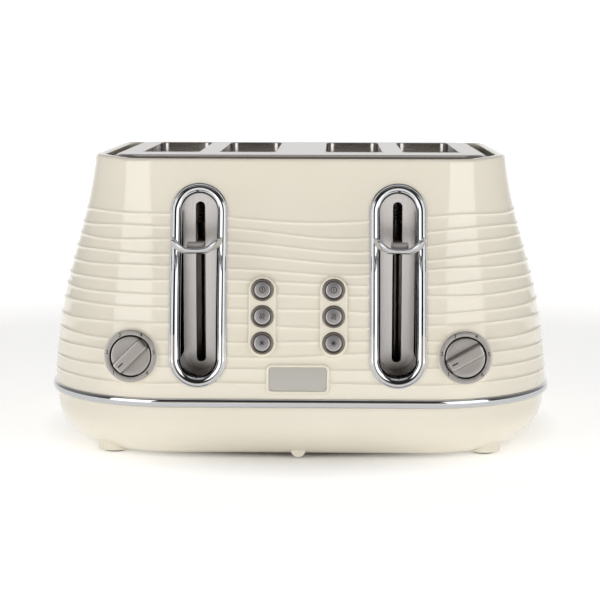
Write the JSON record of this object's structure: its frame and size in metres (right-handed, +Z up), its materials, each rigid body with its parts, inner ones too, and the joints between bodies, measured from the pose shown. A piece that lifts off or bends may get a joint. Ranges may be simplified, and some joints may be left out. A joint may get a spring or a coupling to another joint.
{
  "type": "pop up toaster",
  "caption": "Four-slot pop-up toaster: ribbed cream cover leaning in to a steel deck, chrome waistband, upright lever bezels, dials, keys and rear crumb trays.",
  "frame": {"origin": "on the table under the middle of the object", "axes": "+Z up, the front with the levers looks along -Y, +X to the right as seen from the front"},
  "size_m": [0.325, 0.315, 0.1888],
  "materials": {
    "cream_plastic": "high gloss, warm cream",
    "chrome_plate": "mirror chrome",
    "brushed_steel": "brushed",
    "satin_silver": "satin silver",
    "bronze_grey": "dark metallic",
    "dark_plastic": "dark, heat resistant",
    "rubber_foot": "matt",
    "inner_plastic": "matt",
    "plated_steel": "zinc plated",
    "spring_steel": "drawn wire",
    "magnet_coil": "lacquered winding",
    "mica": "mica board",
    "heating_ribbon": "oxidised ribbon",
    "circuit_board": "lacquered board"
  },
  "bodies": {
    "housing": {"body_shell": "cream_plastic", "base_moulding": "cream_plastic", "feet": "cream_plastic", "trim_band": "chrome_plate", "lever_bezel_left": "chrome_plate", "lever_bezel_right": "chrome_plate", "top_plate": "brushed_steel", "slot_plate_left": "brushed_steel", "slot_plate_right": "brushed_steel", "dial_ring_left": "satin_silver", "dial_ring_right": "satin_silver", "badge_plate": "satin_silver", "button_rings_left": "bronze_grey", "button_rings_right": "bronze_grey", "top_collar": "dark_plastic", "timer_left": "dark_plastic", "timer_right": "dark_plastic", "cord_gland": "dark_plastic", "terminal_block": "dark_plastic", "foot_pads": "rubber_foot", "tray_rails": "inner_plastic", "board_posts": "inner_plastic", "bulkhead_front": "plated_steel", "bulkhead_rear": "plated_steel", "side_shields": "plated_steel", "front_shelf": "plated_steel", "guide_rod_left": "plated_steel", "guide_rod_right": "plated_steel", "base_screws": "plated_steel", "lift_spring_left": "spring_steel", "lift_spring_right": "spring_steel", "latch_magnet_left": "magnet_coil", "latch_magnet_right": "magnet_coil", "heater_cards_left": "mica", "heater_cards_right": "mica", "heater_wires_left": "heating_ribbon", "heater_wires_right": "heating_ribbon", "control_board_left": "circuit_board", "control_board_right": "circuit_board"},
    "carriage_left": {"carriage_left": "plated_steel", "bread_racks_left": "plated_steel", "lever_knob_left": "chrome_plate"},
    "guides_left_a": {"bread_guides_left_a": "plated_steel"},
    "guides_left_b": {"bread_guides_left_b": "plated_steel"},
    "dial_left": {"dial_knob_left": "satin_silver"},
    "key_cancel_left": {"button_cancel_left": "satin_silver"},
    "key_reheat_left": {"button_reheat_left": "satin_silver"},
    "key_defrost_left": {"button_defrost_left": "satin_silver"},
    "tray_left": {"crumb_tray_left": "plated_steel"},
    "carriage_right": {"carriage_right": "plated_steel", "bread_racks_right": "plated_steel", "lever_knob_right": "chrome_plate"},
    "guides_right_a": {"bread_guides_right_a": "plated_steel"},
    "guides_right_b": {"bread_guides_right_b": "plated_steel"},
    "dial_right": {"dial_knob_right": "satin_silver"},
    "key_cancel_right": {"button_cancel_right": "satin_silver"},
    "key_reheat_right": {"button_reheat_right": "satin_silver"},
    "key_defrost_right": {"button_defrost_right": "satin_silver"},
    "tray_right": {"crumb_tray_right": "plated_steel"}
  },
  "joints": [
    {"name": "lever_left", "type": "slide", "parent": "housing", "child": "carriage_left", "axis": [0, 0, 1], "range_m": [-0.07, 0.02], "stiffness_N_per_m": 100, "springref_m": 0.0127, "deforming": ["lift_spring_left"]},
    {"name": "guide_left_a", "type": "slide", "parent": "housing", "child": "guides_left_a", "axis": [1, 0, 0], "range_m": [-0.0025, 0.0085]},
    {"name": "guide_left_b", "type": "slide", "parent": "housing", "child": "guides_left_b", "axis": [-1, 0, 0], "range_m": [-0.0025, 0.0085]},
    {"name": "dial_turn_left", "type": "hinge", "parent": "housing", "child": "dial_left", "pos_m": [-0.1026, -0.1405, 0.068], "axis": [0, 0.994, -0.1097], "range_deg": [0, 269]},
    {"name": "press_cancel_left", "type": "slide", "parent": "housing", "child": "key_cancel_left", "axis": [0, 0.9806, -0.1959], "range_m": [0, 0.0015], "stiffness_N_per_m": 800},
    {"name": "press_reheat_left", "type": "slide", "parent": "housing", "child": "key_reheat_left", "axis": [0, 0.9806, -0.1959], "range_m": [0, 0.0015], "stiffness_N_per_m": 800},
    {"name": "press_defrost_left", "type": "slide", "parent": "housing", "child": "key_defrost_left", "axis": [0, 0.9806, -0.1959], "range_m": [0, 0.0015], "stiffness_N_per_m": 800},
    {"name": "tray_slide_left", "type": "slide", "parent": "housing", "child": "tray_left", "axis": [0, 1, 0], "range_m": [0, 0.17]},
    {"name": "lever_right", "type": "slide", "parent": "housing", "child": "carriage_right", "axis": [0, 0, 1], "range_m": [-0.07, 0.02], "stiffness_N_per_m": 100, "springref_m": 0.0127, "deforming": ["lift_spring_right"]},
    {"name": "guide_right_a", "type": "slide", "parent": "housing", "child": "guides_right_a", "axis": [1, 0, 0], "range_m": [-0.0025, 0.0085]},
    {"name": "guide_right_b", "type": "slide", "parent": "housing", "child": "guides_right_b", "axis": [-1, 0, 0], "range_m": [-0.0025, 0.0085]},
    {"name": "dial_turn_right", "type": "hinge", "parent": "housing", "child": "dial_right", "pos_m": [0.1026, -0.1405, 0.068], "axis": [0, 0.994, -0.1097], "range_deg": [-15.5, 253.5]},
    {"name": "press_cancel_right", "type": "slide", "parent": "housing", "child": "key_cancel_right", "axis": [0, 0.9806, -0.1959], "range_m": [0, 0.0015], "stiffness_N_per_m": 800},
    {"name": "press_reheat_right", "type": "slide", "parent": "housing", "child": "key_reheat_right", "axis": [0, 0.9806, -0.1959], "range_m": [0, 0.0015], "stiffness_N_per_m": 800},
    {"name": "press_defrost_right", "type": "slide", "parent": "housing", "child": "key_defrost_right", "axis": [0, 0.9806, -0.1959], "range_m": [0, 0.0015], "stiffness_N_per_m": 800},
    {"name": "tray_slide_right", "type": "slide", "parent": "housing", "child": "tray_right", "axis": [0, 1, 0], "range_m": [0, 0.17]}
  ],
  "couplings": [
    {"joint": "guide_left_a", "follows": "lever_left", "ratio": -0.11429},
    {"joint": "guide_left_b", "follows": "lever_left", "ratio": -0.11429},
    {"joint": "guide_right_a", "follows": "lever_right", "ratio": -0.11429},
    {"joint": "guide_right_b", "follows": "lever_right", "ratio": -0.11429}
  ]
}
